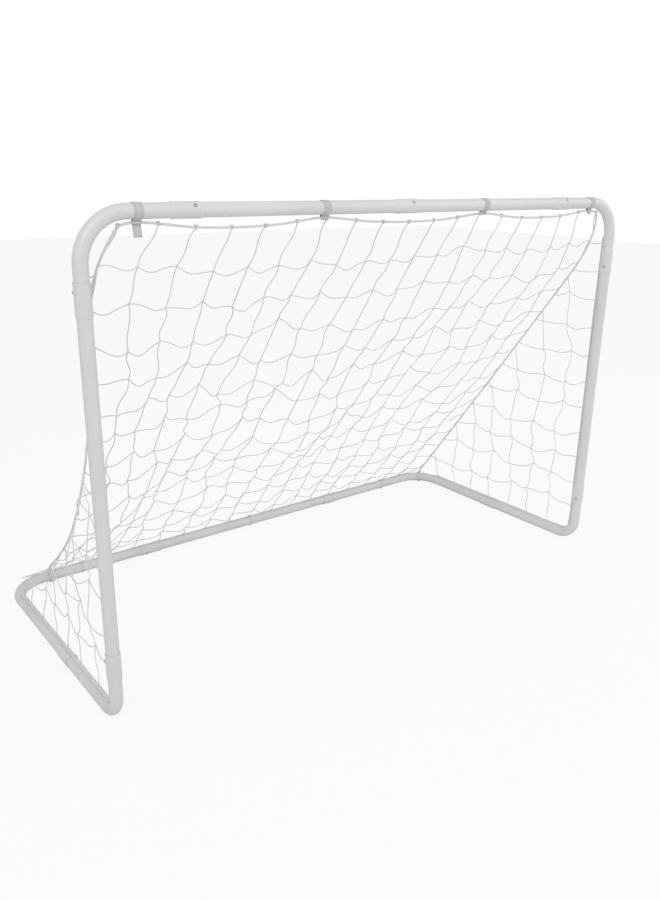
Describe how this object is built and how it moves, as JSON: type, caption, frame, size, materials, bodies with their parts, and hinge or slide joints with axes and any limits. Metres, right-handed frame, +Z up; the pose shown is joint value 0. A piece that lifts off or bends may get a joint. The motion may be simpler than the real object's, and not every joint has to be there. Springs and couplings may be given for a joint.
{
  "type": "soccer goal",
  "caption": "Portable steel tube soccer goal with rounded corners, push-fit tubes held by snap buttons, and a knotted net hung by ropes and straps.",
  "frame": {"origin": "middle of the footprint, on the ground", "axes": "+X along the crossbar, +Y from the goal mouth to the rear bar, +Z up"},
  "size_m": [1.8206, 0.8654, 1.22],
  "materials": {
    "white_paint": "white powder coat, satin",
    "button_steel": "zinc plated",
    "spring_steel": "plain spring steel",
    "net_twine": "knotted white polyethylene twine",
    "border_rope": "twisted white rope",
    "strap_webbing": "white hook and loop webbing"
  },
  "bodies": {
    "frame": {"button_springs": "spring_steel", "crossbar_left": "white_paint", "crossbar_right": "white_paint", "lower_corner_left": "white_paint", "lower_corner_right": "white_paint", "net_back": "net_twine", "net_side_left": "net_twine", "net_side_right": "net_twine", "net_straps": "strap_webbing", "post_left": "white_paint", "post_right": "white_paint", "post_rope_left": "border_rope", "post_rope_right": "border_rope", "rear_bar": "white_paint", "rear_corner_left": "white_paint", "rear_corner_right": "white_paint", "rope_hitches": "border_rope", "slope_rope_left": "border_rope", "slope_rope_right": "border_rope", "top_rope": "border_rope", "upper_corner_left": "white_paint", "upper_corner_right": "white_paint"},
    "button_crossbar_middle": {"snap_button_crossbar_middle": "button_steel"},
    "button_crossbar_outer_left": {"snap_button_crossbar_outer_left": "button_steel"},
    "button_crossbar_outer_right": {"snap_button_crossbar_outer_right": "button_steel"},
    "button_post_left_lower": {"snap_button_post_left_lower": "button_steel"},
    "button_post_left_upper": {"snap_button_post_left_upper": "button_steel"},
    "button_post_right_lower": {"snap_button_post_right_lower": "button_steel"},
    "button_post_right_upper": {"snap_button_post_right_upper": "button_steel"},
    "button_rear_left": {"snap_button_rear_left": "button_steel"},
    "button_rear_right": {"snap_button_rear_right": "button_steel"},
    "button_side_left": {"snap_button_side_left": "button_steel"},
    "button_side_right": {"snap_button_side_right": "button_steel"}
  },
  "joints": [
    {"name": "press_crossbar_middle", "type": "slide", "parent": "frame", "child": "button_crossbar_middle", "axis": [0, 0.8192, -0.5736], "range_m": [0, 0.004], "stiffness_N_per_m": 1500, "springref_m": -0.001},
    {"name": "press_crossbar_outer_left", "type": "slide", "parent": "frame", "child": "button_crossbar_outer_left", "axis": [0, 0.8192, -0.5736], "range_m": [0, 0.004], "stiffness_N_per_m": 1500, "springref_m": -0.001},
    {"name": "press_crossbar_outer_right", "type": "slide", "parent": "frame", "child": "button_crossbar_outer_right", "axis": [0, 0.8192, -0.5736], "range_m": [0, 0.004], "stiffness_N_per_m": 1500, "springref_m": -0.001},
    {"name": "press_post_left_lower", "type": "slide", "parent": "frame", "child": "button_post_left_lower", "axis": [0.7986, -0.6018, 0], "range_m": [0, 0.004], "stiffness_N_per_m": 1500, "springref_m": -0.001},
    {"name": "press_post_left_upper", "type": "slide", "parent": "frame", "child": "button_post_left_upper", "axis": [0.7986, -0.6018, 0], "range_m": [0, 0.004], "stiffness_N_per_m": 1500, "springref_m": -0.001},
    {"name": "press_post_right_lower", "type": "slide", "parent": "frame", "child": "button_post_right_lower", "axis": [0.9397, 0.342, 0], "range_m": [0, 0.004], "stiffness_N_per_m": 1500, "springref_m": -0.001},
    {"name": "press_post_right_upper", "type": "slide", "parent": "frame", "child": "button_post_right_upper", "axis": [0.9397, 0.342, 0], "range_m": [0, 0.004], "stiffness_N_per_m": 1500, "springref_m": -0.001},
    {"name": "press_rear_left", "type": "slide", "parent": "frame", "child": "button_rear_left", "axis": [0, 0.866, 0.5], "range_m": [0, 0.004], "stiffness_N_per_m": 1500, "springref_m": -0.001},
    {"name": "press_rear_right", "type": "slide", "parent": "frame", "child": "button_rear_right", "axis": [0, 0.866, 0.5], "range_m": [0, 0.004], "stiffness_N_per_m": 1500, "springref_m": -0.001},
    {"name": "press_side_left", "type": "slide", "parent": "frame", "child": "button_side_left", "axis": [-1, 0, 0], "range_m": [0, 0.004], "stiffness_N_per_m": 1500, "springref_m": -0.001},
    {"name": "press_side_right", "type": "slide", "parent": "frame", "child": "button_side_right", "axis": [-0.7986, 0, -0.6018], "range_m": [0, 0.004], "stiffness_N_per_m": 1500, "springref_m": -0.001}
  ]
}
